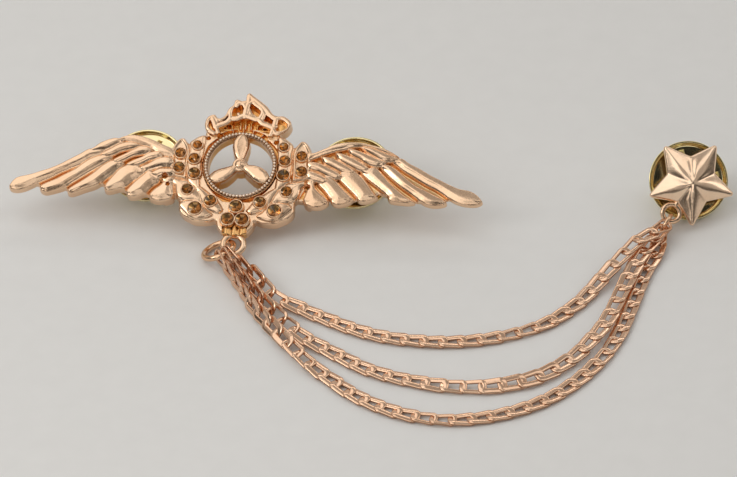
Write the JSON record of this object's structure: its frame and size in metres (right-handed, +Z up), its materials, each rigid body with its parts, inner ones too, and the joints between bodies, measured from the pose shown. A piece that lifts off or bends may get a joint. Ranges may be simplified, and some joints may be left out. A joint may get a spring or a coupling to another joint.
{
  "type": "pilot wings pin",
  "caption": "Winged brooch with crown, pierced ring and stone seats, hung with three curb chains that join a star-shaped pin; all held by butterfly clutches.",
  "frame": {"origin": "middle of the bounding box at its bottom, on the surface that the set lies on", "axes": "+X from the left wing tip towards the star pin, +Y towards the crown, +Z up from the table"},
  "size_m": [0.104, 0.058, 0.0125],
  "materials": {
    "rose_gold_casting": "polished rose-gold plate, worn amber in the recesses",
    "rose_gold_ring": "polished rose-gold wire",
    "rose_gold_chain": "polished rose-gold curb chain",
    "clutch_brass": "bright pale brass stamping",
    "post_brass": "bright brass nail",
    "spring_wire": "drawn spring wire"
  },
  "bodies": {
    "badge": {"badge_casting": "rose_gold_casting", "left_post": "post_brass", "right_post": "post_brass"},
    "left_clutch": {"left_clutch_cup": "clutch_brass", "left_clutch_bracket": "clutch_brass", "left_clutch_spring": "spring_wire"},
    "left_wing_a": {"left_clutch_wing_a": "clutch_brass"},
    "left_wing_b": {"left_clutch_wing_b": "clutch_brass"},
    "right_clutch": {"right_clutch_cup": "clutch_brass", "right_clutch_bracket": "clutch_brass", "right_clutch_spring": "spring_wire"},
    "right_wing_a": {"right_clutch_wing_a": "clutch_brass"},
    "right_wing_b": {"right_clutch_wing_b": "clutch_brass"},
    "star_clutch": {"star_clutch_cup": "clutch_brass", "star_clutch_bracket": "clutch_brass", "star_clutch_spring": "spring_wire"},
    "star_wing_a": {"star_clutch_wing_a": "clutch_brass"},
    "star_wing_b": {"star_clutch_wing_b": "clutch_brass"},
    "jump_ring": {"jump_ring": "rose_gold_ring"},
    "chains_1": {"inner_chain_1": "rose_gold_chain", "middle_chain_1": "rose_gold_chain", "outer_chain_1": "rose_gold_chain"},
    "chains_2": {"inner_chain_2": "rose_gold_chain", "middle_chain_2": "rose_gold_chain", "outer_chain_2": "rose_gold_chain"},
    "chains_3": {"inner_chain_3": "rose_gold_chain", "middle_chain_3": "rose_gold_chain", "outer_chain_3": "rose_gold_chain"},
    "chains_4": {"inner_chain_4": "rose_gold_chain", "middle_chain_4": "rose_gold_chain", "outer_chain_4": "rose_gold_chain"},
    "star_ring": {"star_ring": "rose_gold_ring"},
    "star": {"star_casting": "rose_gold_casting", "star_post": "post_brass"}
  },
  "joints": [
    {"name": "left_clutch_slide", "type": "slide", "parent": "badge", "child": "left_clutch", "axis": [0, 0.4067, -0.9135], "range_m": [0, 0.005]},
    {"name": "left_wing_a_squeeze", "type": "hinge", "parent": "left_clutch", "child": "left_wing_a", "pos_m": [-0.03127, 0.02048, 0.00365], "axis": [0, 0.9135, 0.4067], "range_deg": [0, 12], "stiffness_Nm_per_rad": 0.002},
    {"name": "left_wing_b_squeeze", "type": "hinge", "parent": "left_clutch", "child": "left_wing_b", "pos_m": [-0.03427, 0.02048, 0.00365], "axis": [0, -0.9135, -0.4067], "range_deg": [0, 12], "stiffness_Nm_per_rad": 0.002},
    {"name": "right_clutch_slide", "type": "slide", "parent": "badge", "child": "right_clutch", "axis": [0, 0.4067, -0.9135], "range_m": [0, 0.005]},
    {"name": "right_wing_a_squeeze", "type": "hinge", "parent": "right_clutch", "child": "right_wing_a", "pos_m": [-0.00113, 0.02048, 0.00365], "axis": [0, 0.9135, 0.4067], "range_deg": [0, 12], "stiffness_Nm_per_rad": 0.002},
    {"name": "right_wing_b_squeeze", "type": "hinge", "parent": "right_clutch", "child": "right_wing_b", "pos_m": [-0.00413, 0.02048, 0.00365], "axis": [0, -0.9135, -0.4067], "range_deg": [0, 12], "stiffness_Nm_per_rad": 0.002},
    {"name": "star_clutch_slide", "type": "slide", "parent": "star", "child": "star_clutch", "axis": [-0.1884, 0.703, -0.6858], "range_m": [0, 0.005]},
    {"name": "star_wing_a_squeeze", "type": "hinge", "parent": "star_clutch", "child": "star_wing_a", "pos_m": [0.0465, 0.02345, 0.00317], "axis": [-0.1775, 0.6624, 0.7278], "range_deg": [0, 12], "stiffness_Nm_per_rad": 0.002},
    {"name": "star_wing_b_squeeze", "type": "hinge", "parent": "star_clutch", "child": "star_wing_b", "pos_m": [0.0436, 0.02267, 0.00317], "axis": [0.1775, -0.6624, -0.7278], "range_deg": [0, 12], "stiffness_Nm_per_rad": 0.002},
    {"name": "jump_ring_swing", "type": "hinge", "parent": "badge", "child": "jump_ring", "pos_m": [-0.01884, 0.00687, 0.00188], "axis": [0, 0, 1], "range_deg": [-12, 3]},
    {"name": "chains_lift", "type": "hinge", "parent": "jump_ring", "child": "chains_1", "pos_m": [-0.01982, 0.00446, 0.00209], "axis": [-0.7971, -0.5851, -0.149], "range_deg": [0, 15]},
    {"name": "chain_fold_1", "type": "hinge", "parent": "chains_1", "child": "chains_2", "pos_m": [-0.00962, -0.00882, 0.00111], "axis": [0.392, -0.9199, -0.007], "range_deg": [0, 14]},
    {"name": "chain_fold_2", "type": "hinge", "parent": "chains_2", "child": "chains_3", "pos_m": [0.01829, -0.01896, 0.00053], "axis": [-0.4631, -0.8863, 0.002], "range_deg": [0, 20]},
    {"name": "chain_fold_3", "type": "hinge", "parent": "chains_3", "child": "chains_4", "pos_m": [0.03725, -0.00176, 0.00133], "axis": [-0.043, -0.9954, -0.085], "range_deg": [0, 16]},
    {"name": "star_ring_swing", "type": "hinge", "parent": "chains_4", "child": "star_ring", "pos_m": [0.04221, 0.01396, 0.00169], "axis": [-0.365, 0.149, -0.919], "range_deg": [-8, 12]},
    {"name": "star_lift", "type": "hinge", "parent": "star_ring", "child": "star", "pos_m": [0.04287, 0.0155, 0.00199], "axis": [0.8967, -0.162, -0.4119], "range_deg": [0, 20]}
  ],
  "couplings": [
    {"joint": "left_wing_b_squeeze", "follows": "left_wing_a_squeeze", "ratio": 1},
    {"joint": "right_wing_b_squeeze", "follows": "right_wing_a_squeeze", "ratio": 1},
    {"joint": "star_wing_b_squeeze", "follows": "star_wing_a_squeeze", "ratio": 1}
  ]
}
